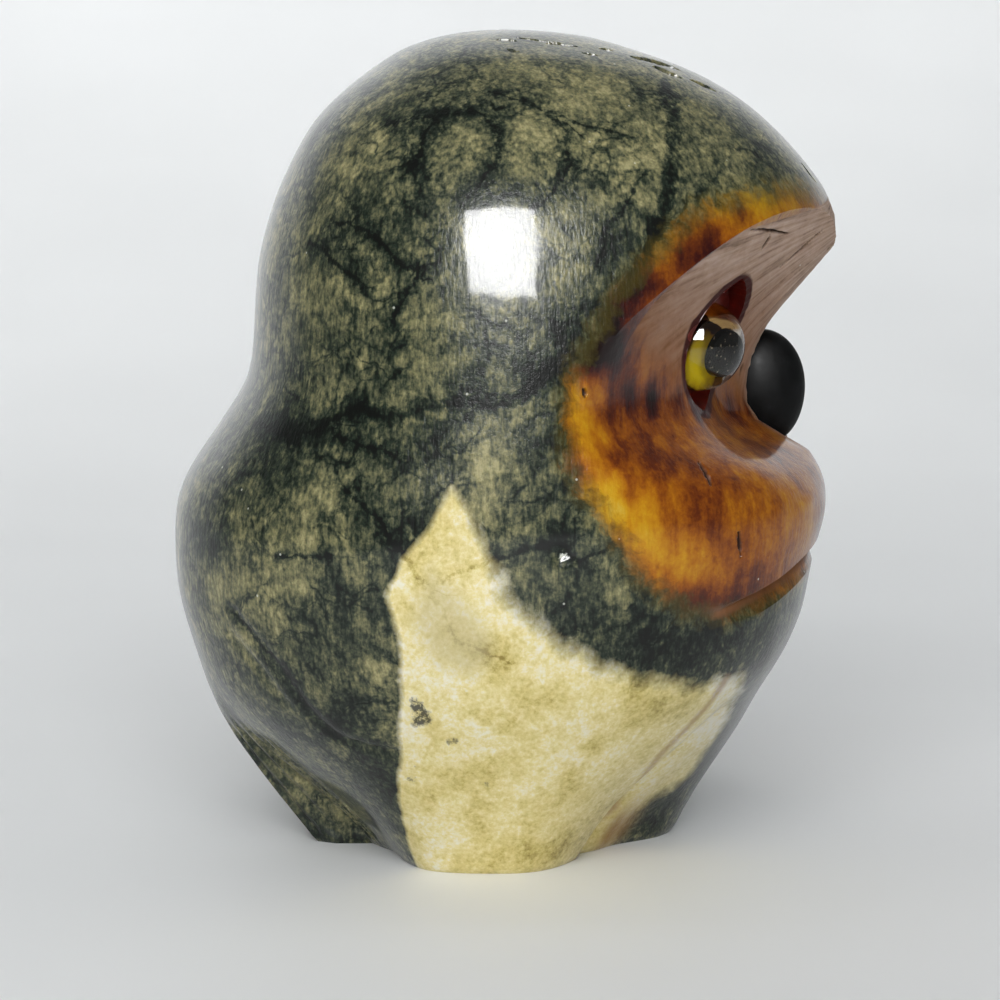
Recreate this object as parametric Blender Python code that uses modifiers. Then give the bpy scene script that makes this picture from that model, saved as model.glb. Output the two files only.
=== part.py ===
# Owl figurine carved from one block of veined alabaster, with two glass eyes set in dyed
# sockets and a separate black stone beak glued into a seat on the ridge of the face.
#
# Metres, +Z up. The owl faces -Y and stands on its flat underside at Z = 0, with the origin
# at the middle of its depth and width. Forward below means towards -Y.

import math

import bmesh
import bpy
from mathutils import Matrix, Vector

MM = 0.001

# Driving dimensions
BODY_HEIGHT = 96.4 * MM
FIT_GAP = 0.3 * MM

EYE_DIAMETER = 10.5 * MM
EYE_DOME = 4.3 * MM
EYE_GIRDLE = 0.8 * MM
SOCKET_SIDE_ROOM = 0.5 * MM
SOCKET_UPPER_TIP = 3.4 * MM
SOCKET_LOWER_TIP = 1.5 * MM
SOCKET_LEAN = 0.10

BEAK_HEIGHT = 13.8 * MM
BEAK_WIDTH = 8.0 * MM
BEAK_PROUD = 7.5 * MM
BEAK_SEAT = 3.1 * MM
BEAK_TAPER = 0.25
BEAK_FLATTENING = 0.05
BEAK_HOOK = 0.14

BASE_EDGE_ROUNDING = 0.7 * MM

# Mesh fineness
COLUMNS = 72
BELLY_ROWS = 13
GROOVE_ROWS = (1.0, 0.6, 0.2, 0.0)
FACE_ROWS = 18
CROWN_ROWS = 13
CREASE_COLUMN = 9
SOCKET_SIDES = 40
BEAK_SIDES = 24
BEAK_ROWS = 15
BODY_SHARP_ABOVE = 38
BEAK_SHARP_ABOVE = 60
EYE_SIDES = 28
DOME_STEPS = 7

# The outline of the figure, as shares of its height. Each pair is a height and a distance
# from the upright axis through the origin, forward, back or sideways.
FRONT_OUTLINE = (
    (0.000, 0.213), (0.041, 0.234), (0.086, 0.262), (0.137, 0.294), (0.196, 0.322), (0.242, 0.348),
    (0.297, 0.370), (0.335, 0.377), (0.372, 0.385), (0.417, 0.398), (0.618, 0.402), (0.738, 0.407),
    (0.767, 0.409), (0.795, 0.401), (0.831, 0.377), (0.897, 0.314), (0.947, 0.237), (0.971, 0.173),
    (0.990, 0.112),
)
BACK_OUTLINE = (
    (0.000, 0.239), (0.080, 0.300), (0.164, 0.355), (0.252, 0.387), (0.328, 0.405), (0.415, 0.406),
    (0.460, 0.391), (0.516, 0.353), (0.576, 0.317), (0.637, 0.308), (0.724, 0.301), (0.805, 0.277),
    (0.846, 0.257), (0.901, 0.223), (0.972, 0.133), (0.993, 0.080),
)
SIDE_OUTLINE = (
    (0.000, 0.217), (0.074, 0.258), (0.148, 0.302), (0.230, 0.348), (0.314, 0.375), (0.375, 0.382),
    (0.438, 0.381), (0.500, 0.375), (0.572, 0.366), (0.645, 0.356), (0.728, 0.341), (0.811, 0.313),
    (0.873, 0.271), (0.926, 0.213), (0.967, 0.145), (0.992, 0.072),
)
# How far forward the ridge of the hollowed face stands between the chin and the brow.
RIDGE_OUTLINE = (
    (0.417, 0.399), (0.440, 0.399), (0.460, 0.394), (0.476, 0.386), (0.490, 0.371), (0.500, 0.350),
    (0.514, 0.325), (0.532, 0.307), (0.551, 0.300), (0.582, 0.302), (0.607, 0.309), (0.638, 0.325),
    (0.682, 0.362), (0.729, 0.402), (0.799, 0.460),
)
SECTION_ROUNDNESS = 2.15
NEARLY_SIDEWAYS = 0.02

# The face is two flats that slope back from a narrow ridge and lean out at the brow.
CHIN_HEIGHT = 0.417 * BODY_HEIGHT
CHEEK_TOP = 0.583 * BODY_HEIGHT
RIM_LOWEST = 0.620 * BODY_HEIGHT
RIM_CRISP = 0.70 * BODY_HEIGHT
RIM_HIGHEST = 0.80 * BODY_HEIGHT
RIDGE_HALF_WIDTH = 0.048 * BODY_HEIGHT
RIDGE_ROUNDING = 0.018 * BODY_HEIGHT
CHEEK_RUN_OUT = 0.030 * BODY_HEIGHT
CHEEK_RUN_OUT_SPAN = (math.radians(20), math.radians(52))
CHIN_FRONT = math.radians(18)
CHIN_SIDE = math.radians(78)
FLAT_SLOPE = 0.82

# The undercut groove below the chin, and the crease between each flank and the breast.
CHIN_EDGE_FRONT = 0.385 * BODY_HEIGHT
CHIN_EDGE_SIDE = 0.336 * BODY_HEIGHT
CHIN_EDGE_LEVEL = math.radians(14)
CHIN_GROOVE_WIDTH = 0.030 * BODY_HEIGHT
CHIN_GROOVE_DEPTH = 0.015 * BODY_HEIGHT
CHIN_GROOVE_FRONT = 0.5
CHIN_GROOVE_STEEP = 0.2
CHIN_GROOVE_WANES = math.radians(42)
CHIN_GROOVE_END = math.radians(60)
CREASE_FOOT = math.radians(64)
CREASE_TOP = math.radians(38)
CREASE_HEIGHT = 0.245 * BODY_HEIGHT
CREASE_RELEASE = 0.600 * BODY_HEIGHT
CREASE_WIDTH = math.radians(3)
CREASE_DEPTH = 0.017 * BODY_HEIGHT
CREASE_RUN_OUT = 1.6
CREASE_WANES = 0.11 * BODY_HEIGHT

# The hollows of the foot line, either side of the breast and either side of the tail.
BREAST_HOLLOW_DEPTH = 0.064 * BODY_HEIGHT
BREAST_HOLLOW_HEIGHT = 0.26 * BODY_HEIGHT
BREAST_HOLLOW_SPAN = tuple(math.radians(a) for a in (4, 38, 50, 92))
TAIL_HOLLOW_DEPTH = 0.064 * BODY_HEIGHT
TAIL_HOLLOW_HEIGHT = 0.24 * BODY_HEIGHT
TAIL_HOLLOW_SPAN = tuple(math.radians(a) for a in (114, 150, 162, 170))

# Where an eye sits in its flat, and how it is turned out and down.
EYE_OUT = 0.170 * BODY_HEIGHT
EYE_UP = 0.623 * BODY_HEIGHT
EYE_TURN_OUT = math.radians(38.5)
EYE_TURN_DOWN = math.radians(15.5)
EYE_SINK = 0.004 * BODY_HEIGHT
BEAK_UP = 0.560 * BODY_HEIGHT


def smooth_step(low, high, value):
    share = min(1.0, max(0.0, (value - low) / (high - low)))
    return share * share * (3 - 2 * share)


def along(outline, height):
    """The outline's distance at a height, in metres, on a smooth curve through its points."""
    share = height / BODY_HEIGHT
    if share <= outline[0][0]:
        return outline[0][1] * BODY_HEIGHT
    if share >= outline[-1][0]:
        # The crown closes as a rounded cap between the outline's last point and the top
        left = (1.0 - min(share, 1.0)) / (1.0 - outline[-1][0])
        return outline[-1][1] * BODY_HEIGHT * math.sqrt(left)
    at = next(i for i in range(1, len(outline)) if share <= outline[i][0])
    (x0, y0), (x1, y1) = outline[at - 1], outline[at]
    before = outline[max(0, at - 2)]
    after = outline[min(len(outline) - 1, at + 1)]
    slope0 = (y1 - before[1]) / (x1 - before[0])
    slope1 = (after[1] - y0) / (after[0] - x0)
    span = x1 - x0
    t = (share - x0) / span
    value = (
        y0 * (1 + 2 * t) * (1 - t) ** 2
        + slope0 * span * t * (1 - t) ** 2
        + y1 * t * t * (3 - 2 * t)
        + slope1 * span * t * t * (t - 1)
    )
    return value * BODY_HEIGHT


def softer_min(a, b, blend):
    overlap = max(0.0, blend - abs(a - b)) / blend
    return min(a, b) - overlap * overlap * blend / 4


def hollow_share(angle, span):
    """How much of a hollow's full depth there is at an angle, between its two sides."""
    starts, full, wanes, ends = span
    return smooth_step(starts, full, angle) * (1 - smooth_step(wanes, ends, angle))


def crease_angle(height):
    """Where the flank's edge stands beside the breast, as an angle from straight ahead."""
    rise = min(1.0, height / CREASE_HEIGHT)
    return CREASE_FOOT + (CREASE_TOP - CREASE_FOOT) * rise


def chin_edge(angle):
    """The height of the chin's lower edge, which dips towards the sides."""
    dip = smooth_step(CHIN_EDGE_LEVEL, CHIN_GROOVE_END, angle)
    return CHIN_EDGE_FRONT + (CHIN_EDGE_SIDE - CHIN_EDGE_FRONT) * dip


def block_radius(angle, height):
    """The rounded block before the face is hollowed, with the hollows of its foot line."""
    forward = math.cos(angle)
    depth = along(FRONT_OUTLINE if forward > 0 else BACK_OUTLINE, height)
    width = along(SIDE_OUTLINE, height)
    power = SECTION_ROUNDNESS
    radius = ((abs(forward) / depth) ** power + (abs(math.sin(angle)) / width) ** power) ** (-1 / power)
    breast = hollow_share(angle, BREAST_HOLLOW_SPAN) * (1 - smooth_step(0, BREAST_HOLLOW_HEIGHT, height))
    tail = hollow_share(angle, TAIL_HOLLOW_SPAN) * (1 - smooth_step(0, TAIL_HOLLOW_HEIGHT, height))
    return radius - BREAST_HOLLOW_DEPTH * breast - TAIL_HOLLOW_DEPTH * tail


def face_radius(angle, height):
    """The hollowed face: two flats and their ridge above, swelling into the chin below."""
    forward, aside = math.cos(angle), math.sin(angle)
    if forward <= NEARLY_SIDEWAYS:
        return math.inf
    ridge = along(RIDGE_OUTLINE, height)
    flat = (ridge + FLAT_SLOPE * RIDGE_HALF_WIDTH) / (forward + FLAT_SLOPE * aside)
    hollow = softer_min(ridge / forward, flat, RIDGE_ROUNDING)
    swollen = block_radius(angle, height)
    swollen -= (along(FRONT_OUTLINE, height) - ridge) * (1 - smooth_step(CHIN_FRONT, CHIN_SIDE, angle))
    chin = 1 - smooth_step(CHIN_HEIGHT, CHEEK_TOP, height)
    return hollow + (swollen - hollow) * chin


def groove_depth(angle, height):
    """The chin's undercut and the breast crease, each deepest just inside its sharp edge."""
    below = (chin_edge(angle) - height) / CHIN_GROOVE_WIDTH
    chin = min(below / CHIN_GROOVE_STEEP, (1 - below) / (1 - CHIN_GROOVE_STEEP)) if 0 < below < 1 else 0.0
    chin *= CHIN_GROOVE_FRONT + (1 - CHIN_GROOVE_FRONT) * smooth_step(0, CHIN_EDGE_LEVEL, angle)
    chin *= CHIN_GROOVE_DEPTH * (1 - smooth_step(CHIN_GROOVE_WANES, CHIN_GROOVE_END, angle))
    inside = (crease_angle(height) - angle) / CREASE_WIDTH
    crease = math.exp(-max(0.0, inside - 1) / CREASE_RUN_OUT) * min(1.0, inside) if inside > 0 else 0.0
    crease *= CREASE_DEPTH * (1 - smooth_step(CREASE_WANES, CREASE_HEIGHT, height))
    return chin + crease


def surface_radius(angle, height):
    """Distance of the finished surface from the upright axis, at an angle from straight ahead."""
    block = block_radius(angle, height)
    if CHIN_HEIGHT < height < RIM_HIGHEST:
        cut = block - face_radius(angle, height)
        if cut > 0:
            softness = CHEEK_RUN_OUT * smooth_step(*CHEEK_RUN_OUT_SPAN, angle)
            softness *= 1 - smooth_step(CHEEK_TOP, RIM_CRISP, height)
            block -= cut * cut / (cut + softness)
    return block - groove_depth(angle, height)


def rim_height(angle):
    """The height of the brow's sharp rim, where the face's flat runs out of the block."""
    low, high = RIM_LOWEST, RIM_HIGHEST
    if face_radius(angle, low) >= block_radius(angle, low):
        return low
    for _ in range(40):
        middle = (low + high) / 2
        if face_radius(angle, middle) < block_radius(angle, middle):
            low = middle
        else:
            high = middle
    return low


def row_height(row, angle):
    """Height of a row of vertices, counted up from the foot. Rows follow the chin and the rim."""
    chin = chin_edge(angle)
    groove = chin - CHIN_GROOVE_WIDTH
    rim = rim_height(angle)
    if row <= BELLY_ROWS:
        return groove * (row / BELLY_ROWS)
    row -= BELLY_ROWS
    if row < len(GROOVE_ROWS):
        return chin - CHIN_GROOVE_WIDTH * GROOVE_ROWS[row]
    row -= len(GROOVE_ROWS) - 1
    if row <= FACE_ROWS:
        return chin + (rim - chin) * row / FACE_ROWS
    row -= FACE_ROWS
    turn = math.pi / 2 * row / CROWN_ROWS
    return rim + (BODY_HEIGHT - rim) * math.sin(turn)


def column_angle(column, height):
    """Angle of a column of vertices. Near the foot two columns follow the crease beside the breast."""
    half = COLUMNS // 2
    even = math.pi / half
    level = 1 - smooth_step(CREASE_HEIGHT, CREASE_RELEASE, height)
    edge = CREASE_COLUMN * even
    edge += (crease_angle(height) - edge) * level
    inner = (CREASE_COLUMN - 1) * even
    inner += (edge - CREASE_WIDTH - inner) * level
    if column < CREASE_COLUMN:
        return inner * column / (CREASE_COLUMN - 1)
    return edge + (math.pi - edge) * (column - CREASE_COLUMN) / (half - CREASE_COLUMN)


def new_object(name, mesh, collection, material=None):
    made = bpy.data.objects.new(name, mesh)
    collection.objects.link(made)
    if material:
        mesh.materials.append(material)
    return made


def shade_round(mesh, sharp_above):
    mesh.shade_smooth()
    mesh.set_sharp_from_angle(angle=math.radians(sharp_above))


def make_material(name, colour, roughness, coat=0.0, transmission=0.0):
    material = bpy.data.materials.new(name)
    material.use_nodes = True
    shader = material.node_tree.nodes["Principled BSDF"]
    shader.inputs["Base Color"].default_value = (*colour, 1.0)
    shader.inputs["Roughness"].default_value = roughness
    shader.inputs["Metallic"].default_value = 0.0
    shader.inputs["Coat Weight"].default_value = coat
    shader.inputs["Transmission Weight"].default_value = transmission
    return material


def place_of(column, row):
    """Angle and height of a vertex, each of which depends a little on the other."""
    angle = 2 * math.pi * column / COLUMNS
    for _ in range(4):
        height = row_height(row, angle)
        angle = column_angle(column, height)
    return angle, height


def make_body(collection, material):
    """A ball of rows and columns, each row and column moved to its place on the carving."""
    rows = BELLY_ROWS + len(GROOVE_ROWS) - 1 + FACE_ROWS + CROWN_ROWS
    levels = rows + 2
    shape = bmesh.new()
    bmesh.ops.create_uvsphere(shape, u_segments=COLUMNS, v_segments=levels, radius=1.0)
    for vertex in shape.verts:
        x, y, z = vertex.co
        level = round(levels * (1 - math.acos(max(-1.0, min(1.0, z))) / math.pi))
        column = round(COLUMNS * abs(math.atan2(x, -y)) / (2 * math.pi))
        side = 1.0 if x > 0 else -1.0
        if level == 0:
            vertex.co = (0.0, 0.0, 0.0)
        elif level == levels:
            vertex.co = (0.0, 0.0, BODY_HEIGHT)
        else:
            row = max(0, level - 2)
            angle, height = place_of(column, row)
            height = max(height, BASE_EDGE_ROUNDING)
            radius = surface_radius(angle, height)
            if level == 1:
                radius -= BASE_EDGE_ROUNDING
                height = 0.0
            vertex.co = (side * radius * math.sin(angle), -radius * math.cos(angle), height)
    underside = [f for f in shape.faces if all(abs(v.co.z) < 1e-7 for v in f.verts)]
    bmesh.ops.dissolve_faces(shape, faces=underside, use_verts=True)
    bmesh.ops.recalc_face_normals(shape, faces=shape.faces)
    mesh = bpy.data.meshes.new("carved_body")
    shape.to_mesh(mesh)
    shape.free()
    return new_object("carved_body", mesh, collection, material)


def eye_frame(side):
    """Matrix of an eye: its origin at the girdle's middle, +Z looking out, +Y up its flat."""
    angle = math.atan2(EYE_OUT, 1.0)
    for _ in range(30):
        angle = math.asin(min(1.0, EYE_OUT / surface_radius(angle, EYE_UP)))
    forward = surface_radius(angle, EYE_UP) * math.cos(angle)
    out = Vector((
        side * math.sin(EYE_TURN_OUT) * math.cos(EYE_TURN_DOWN),
        -math.cos(EYE_TURN_OUT) * math.cos(EYE_TURN_DOWN),
        -math.sin(EYE_TURN_DOWN),
    ))
    up = (Vector((0, 0, 1)) - out * out.z).normalized()
    place = Vector((side * EYE_OUT, -forward, EYE_UP)) - out * EYE_SINK
    turned = Matrix((up.cross(out), up, out)).transposed()
    return Matrix.Translation(place) @ turned.to_4x4()


def make_eye(name, side, mesh, collection, material):
    """A cast glass eye: a domed front over a low straight girdle and a flat back."""
    eye = new_object(name, mesh, collection)
    if not mesh.materials:
        mesh.materials.append(material)
    eye.matrix_world = eye_frame(side)
    turn = eye.modifiers.new("Turned about its axis", "SCREW")
    turn.axis = "Z"
    turn.steps = turn.render_steps = EYE_SIDES
    turn.use_merge_vertices = True
    turn.merge_threshold = 0.00001
    turn.use_smooth_shade = True
    return eye


def eye_profile():
    """The half outline of an eye, from the top of its dome down to the middle of its back."""
    curve = ((EYE_DIAMETER / 2) ** 2 + EYE_DOME ** 2) / (2 * EYE_DOME)
    sweep = 2 * math.atan2(EYE_DOME, EYE_DIAMETER / 2)
    points = [
        (curve * math.sin(sweep * i / DOME_STEPS), EYE_DOME - curve * (1 - math.cos(sweep * i / DOME_STEPS)))
        for i in range(DOME_STEPS + 1)
    ]
    points += [(EYE_DIAMETER / 2, -EYE_GIRDLE), (0.0, -EYE_GIRDLE)]
    mesh = bpy.data.meshes.new("glass_eye")
    mesh.from_pydata([(x, 0, z) for x, z in points], [(i, i + 1) for i in range(len(points) - 1)], [])
    return mesh


def make_socket_cutter(side, collection):
    """The almond-shaped pocket round an eye: two arcs that meet in a tip above and below."""
    half_width = EYE_DIAMETER / 2 + SOCKET_SIDE_ROOM
    shape = bmesh.new()
    bmesh.ops.create_circle(shape, cap_ends=True, segments=SOCKET_SIDES, radius=1.0)
    for vertex in shape.verts:
        turn = math.atan2(vertex.co.y, vertex.co.x)
        tip = EYE_DIAMETER / 2 + (SOCKET_UPPER_TIP if turn > 0 else SOCKET_LOWER_TIP)
        arc = (tip ** 2 + half_width ** 2) / (2 * half_width)
        up = tip * math.sin(turn)
        across = math.sqrt(arc * arc - up * up) - (arc - half_width)
        if abs(math.cos(turn)) < 1e-6:
            across = 0.0
        lean = -SOCKET_LEAN * side * up
        vertex.co = (math.copysign(across, math.cos(turn)) + lean, up, -EYE_GIRDLE - FIT_GAP)
    made = bmesh.ops.extrude_face_region(shape, geom=list(shape.faces))
    raised = [v for v in made["geom"] if isinstance(v, bmesh.types.BMVert)]
    bmesh.ops.translate(shape, verts=raised, vec=(0, 0, EYE_DIAMETER))
    bmesh.ops.recalc_face_normals(shape, faces=shape.faces)
    mesh = bpy.data.meshes.new("socket_cutter")
    shape.to_mesh(mesh)
    shape.free()
    cutter = new_object(f"socket_cutter_{'left' if side > 0 else 'right'}", mesh, collection)
    cutter.matrix_world = eye_frame(side)
    return cutter


def beak_shape(name, grown, collection, material=None):
    """The beak: a tall pebble, narrower below, its lower end standing forward in a blunt hook."""
    shape = bmesh.new()
    bmesh.ops.create_uvsphere(shape, u_segments=BEAK_SIDES, v_segments=BEAK_ROWS, radius=1.0)
    half_depth = (BEAK_PROUD + BEAK_SEAT) / 2
    middle = along(RIDGE_OUTLINE, BEAK_UP) + BEAK_PROUD - half_depth
    for vertex in shape.verts:
        x, y, z = vertex.co
        lower = max(0.0, -z)
        width = (BEAK_WIDTH / 2 + grown) * (1 - BEAK_TAPER * lower ** 2)
        depth = (half_depth + grown) * (1 - BEAK_FLATTENING * lower ** 2)
        hooked = BEAK_HOOK * half_depth * lower ** 2
        vertex.co = (x * width, y * depth - middle - hooked, BEAK_UP + z * (BEAK_HEIGHT / 2 + grown))
    mesh = bpy.data.meshes.new(name)
    shape.to_mesh(mesh)
    shape.free()
    return new_object(name, mesh, collection, material)


def cut(body, cutter):
    carve = body.modifiers.new(f"Cut by {cutter.name}", "BOOLEAN")
    carve.operation = "DIFFERENCE"
    carve.object = cutter
    cutter.hide_render = True
    cutter.display_type = "WIRE"


def build():
    for old in list(bpy.data.objects):
        bpy.data.objects.remove(old)
    scene = bpy.context.scene.collection
    owl = bpy.data.collections.new("alabaster_owl")
    cutters = bpy.data.collections.new("cutters")
    scene.children.link(owl)
    scene.children.link(cutters)

    alabaster = make_material("polished_alabaster", (0.085, 0.092, 0.075), 0.18, coat=0.3)
    glass = make_material("eye_glass", (0.55, 0.42, 0.05), 0.03, transmission=0.6)
    black_stone = make_material("black_stone", (0.012, 0.012, 0.013), 0.25)

    body = make_body(owl, alabaster)
    eye_mesh = eye_profile()
    for name, side in (("right_eye", -1), ("left_eye", 1)):
        make_eye(name, side, eye_mesh, owl, glass)
        cut(body, make_socket_cutter(side, cutters))
    beak = beak_shape("beak", 0.0, owl, black_stone)
    cut(body, beak_shape("beak_seat_cutter", FIT_GAP, cutters))
    shade_round(body.data, BODY_SHARP_ABOVE)
    shade_round(beak.data, BEAK_SHARP_ABOVE)


build()
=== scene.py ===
import math

import bmesh
import bpy
import numpy as np
from mathutils import Matrix, Vector, noise
from mathutils.bvhtree import BVHTree
from mathutils.kdtree import KDTree


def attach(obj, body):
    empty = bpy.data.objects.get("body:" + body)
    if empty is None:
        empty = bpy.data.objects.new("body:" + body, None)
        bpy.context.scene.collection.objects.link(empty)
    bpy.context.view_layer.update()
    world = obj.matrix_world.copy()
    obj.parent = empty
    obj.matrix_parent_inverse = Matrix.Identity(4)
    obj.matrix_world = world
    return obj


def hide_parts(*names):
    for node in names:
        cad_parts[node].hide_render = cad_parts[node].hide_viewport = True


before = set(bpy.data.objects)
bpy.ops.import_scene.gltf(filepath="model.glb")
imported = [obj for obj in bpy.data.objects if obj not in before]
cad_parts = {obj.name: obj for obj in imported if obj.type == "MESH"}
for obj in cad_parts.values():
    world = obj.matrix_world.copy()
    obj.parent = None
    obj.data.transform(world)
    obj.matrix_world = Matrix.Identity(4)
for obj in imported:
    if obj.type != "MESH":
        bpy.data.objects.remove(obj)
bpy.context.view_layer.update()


# The carved block
# One lump of veined alabaster, sawn flat below, carved with chisels and files, then ground and waxed.
# The facets of its solid are rounded off here between the sharp edges of the carving.
MM = 0.001
SAME_POINT = 0.002 * MM
PAIR_TRIANGLES_TO = math.radians(50)
SOFT_BEND, HARD_BEND = math.radians(14), math.radians(34)
POCKET_REACH = 9.2 * MM
POCKET_HALF_WIDTH = 6.3 * MM
POCKET_DEPTHS = (-1 * MM, 6 * MM)
FACES_AXIS, SQUARE_TO_AXIS = 0.996, 0.08
SHARP_FROM = math.radians(32)


def work_on(piece):
    """Makes a piece the only selected one."""
    bpy.ops.object.select_all(action="DESELECT")
    bpy.context.view_layer.objects.active = piece
    piece.select_set(True)


def apply_modifier(piece, kind, **settings):
    made = piece.modifiers.new(kind.lower(), kind)
    for name, value in settings.items():
        setattr(made, name, value)
    work_on(piece)
    bpy.ops.object.modifier_apply(modifier=made.name)


def smooth_copy(node, name):
    """A copy of a solid with its triangles merged back into quads and its sharp edges creased."""
    piece = bpy.data.objects.new(name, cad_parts[node].data.copy())
    bpy.context.scene.collection.objects.link(piece)
    piece.data.materials.clear()
    work_on(piece)
    bpy.ops.object.mode_set(mode="EDIT")
    bpy.ops.mesh.customdata_custom_splitnormals_clear()
    bpy.ops.mesh.select_all(action="SELECT")
    bpy.ops.mesh.remove_doubles(threshold=SAME_POINT)
    bpy.ops.mesh.tris_convert_to_quads(face_threshold=PAIR_TRIANGLES_TO, shape_threshold=PAIR_TRIANGLES_TO)
    cage = bmesh.from_edit_mesh(piece.data)
    crease = cage.edges.layers.float.get("crease_edge") or cage.edges.layers.float.new("crease_edge")
    for edge in cage.edges:
        edge[crease] = min(1.0, max(0.0, (edge.calc_face_angle(0.0) - SOFT_BEND) / (HARD_BEND - SOFT_BEND)))
    bmesh.update_edit_mesh(piece.data)
    bpy.ops.object.mode_set(mode="OBJECT")
    return piece


def turned_frame(node):
    """The frame of a turned solid: +Z along its axis towards the front, +Y up its face."""
    points = np.unique(np.array([v.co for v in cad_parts[node].data.vertices]).round(7), axis=0)
    middle = (points.min(0) + points.max(0)) / 2
    rim = points - points.mean(0)
    axes = np.linalg.eigh(rim.T @ rim)[1]
    out = Vector(axes[:, 0] if axes[1, 0] < 0 else -axes[:, 0])
    up = (Vector((0, 0, 1)) - out * out.z).normalized()
    turn = Matrix((up.cross(out), up, out)).transposed().to_4x4()
    depths = (points - middle) @ np.array(out)
    return Matrix.Translation(Vector(middle) + out * float(depths.min())) @ turn


body = smooth_copy("carved_body", "carved_alabaster_owl")
eye_backs = {side: turned_frame(f"{side}_eye") for side in ("right", "left")}

# The floor and the walls of the eyes' pockets take a dye of their own
for back in eye_backs.values():
    local = back.inverted()
    for face in body.data.polygons:
        across, up, out = local @ face.center
        lies = abs(face.normal.dot(back.col[2].xyz))
        near = math.hypot(across, up) < POCKET_REACH and abs(across) < POCKET_HALF_WIDTH
        deep = POCKET_DEPTHS[0] < out < POCKET_DEPTHS[1]
        if near and deep and (lies > FACES_AXIS or lies < SQUARE_TO_AXIS):
            face.material_index = 1
apply_modifier(body, "SUBSURF", levels=2, render_levels=2)


# The cuts of the carver's tools
# Combed grooves run down the tail and a scored line marks each wing. Files scored the flats under the
# brow, and the crown and the brow have lost some flakes. Places are an angle from straight ahead,
# positive towards the owl's right side, and a height in mm.
TAIL_GROOVES_EVERY = math.radians(3.4)
TAIL_GROOVES_SPREAD = math.radians(30)
TAIL_GROOVES_TOP = 17.0
TAIL_GROOVE_DEPTH = 0.42
WING_LINE_DEPTH, WING_LINE_WIDTH = 0.38, 0.50
HAND_WAVE_SIZE, HAND_WAVE_DEPTH = 7.0, 0.12
FILE_MARK_SIZE, FILE_MARK_LENGTH, FILE_MARK_DEPTH = 0.9, 9.0, 0.16
CHIP_DEPTH = 0.55
DENT_DEPTH, DENT_REACH = 0.35, 1.5
STANDING_EDGE = (0.3, 2.0)
FINER_WITHIN = (1.2, 0.8)
TAIL_FINER_BEYOND, TAIL_FINER_BELOW = 149, 17.5
FLATS_FINER_WITHIN, FLATS_FINER_ABOVE, FLATS_FINER_PAST_RIM = 68, 58, 0.2
BROW_TIP, FACE_RADIUS, STROKE_RADIUS, SIDES_APART = 77.0, 26.0, 24.0, 9.0
FLAT_STARTS_UNDER_RIM, FLAT_STARTS_OVER_CHEEK, FLAT_ENDS_AT_SIDE = (-0.2, 0.6), (54, 60), (70, 78)
RIM = (
    (0, 77.1), (12, 76.9), (22, 76.3), (36, 75.0), (46, 74.2), (57, 70.8), (65, 67.3), (69, 64.3), (73, 60.0),
)
WING_LINES = (
    ((147, 31.5), (141, 28.0), (137, 24.5), (134, 20.5), (130, 17.5), (124, 16.6), (117, 16.0)),
    ((149, 28.5), (143, 25.0), (139, 21.0)),
)
CHIPS = (
    (((33, 93.1), (29.7, 92.9), (26, 92.6), (23.6, 92.3), (22, 91.8)), 0.75),
    (((33, 92.0), (32, 91.5), (30, 90.9)), 0.60), (((26, 90.5), (24, 90.0), (22, 89.4)), 0.50),
    (((66, 94.7), (58, 94.6), (51, 94.4)), 0.28), (((40, 94.1), (36, 93.9)), 0.36),
    (((54.5, 93.6), (50, 93.4)), 0.28), (((93, 93.9), (87, 93.7)), 0.26), (((100, 95.1), (86, 95.0)), 0.28),
    (((83, 95.3), (68, 95.0), (57, 94.8)), 0.26), (((15.8, 80.9), (16, 79.9), (15.3, 78.9)), 0.28),
    (((-30, 93.0), (-42, 91.5)), 0.35),
)
TICKS = (
    (((43.8, 74.0), (38.4, 73.8), (28.4, 73.1)), 0.20), (((35.2, 73.2), (34.6, 72.6), (34.6, 71.5)), 0.34),
    (((22, 69.0), (19.5, 70.5), (18.0, 71.7), (16.0, 73.1)), 0.24), (((8, 70.6), (6.5, 71.8)), 0.25),
    (((12.7, 57.2), (13.6, 56.0)), 0.30), (((55.5, 48.6), (56.2, 46.4)), 0.42),
    (((80.5, 57.4), (80.3, 56.6)), 0.30), (((51.6, 40.8), (51.0, 38.0)), 0.35),
)
CRYSTAL_DENT = (85.0, 39.5)


def ease(low, high, values):
    share = np.clip((values - low) / (high - low), 0.0, 1.0)
    return share * share * (3 - 2 * share)


def read_points(mesh, what="co"):
    """Positions in mm, or normals, of a mesh's vertices, one row each."""
    flat = np.empty(len(mesh.vertices) * 3)
    if what == "co":
        mesh.vertices.foreach_get("co", flat)
        return flat.reshape(-1, 3) / MM
    mesh.vertex_normals.foreach_get("vector", flat)
    return flat.reshape(-1, 3)


def round_about(points):
    """Angle from straight ahead, towards the owl's right side, and height in mm."""
    return np.degrees(np.arctan2(-points[:, 0], -points[:, 1])), points[:, 2]


def rough(points, size, seed=0.0, octaves=2):
    """Smooth noise between about -1 and 1 at some size in mm, which may differ by axis."""
    scaled = points / np.array(size) + seed
    return np.array([noise.fractal(Vector(p), 1.0, 2.0, octaves) for p in scaled])


def on_stone(outline):
    """Points of the block's surface, in mm, for angles and heights."""
    found = []
    for angle, height in outline:
        turn = math.radians(angle)
        way = Vector((-math.sin(turn), -math.cos(turn), 0.0))
        hit = skin.ray_cast(way * 0.2 + Vector((0, 0, max(0.05, height) * MM)), -way)[0]
        found.append(np.array(hit) / MM)
    return np.array(found)


def mirrored(outline):
    return tuple((-angle, height) for angle, height in outline)


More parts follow.
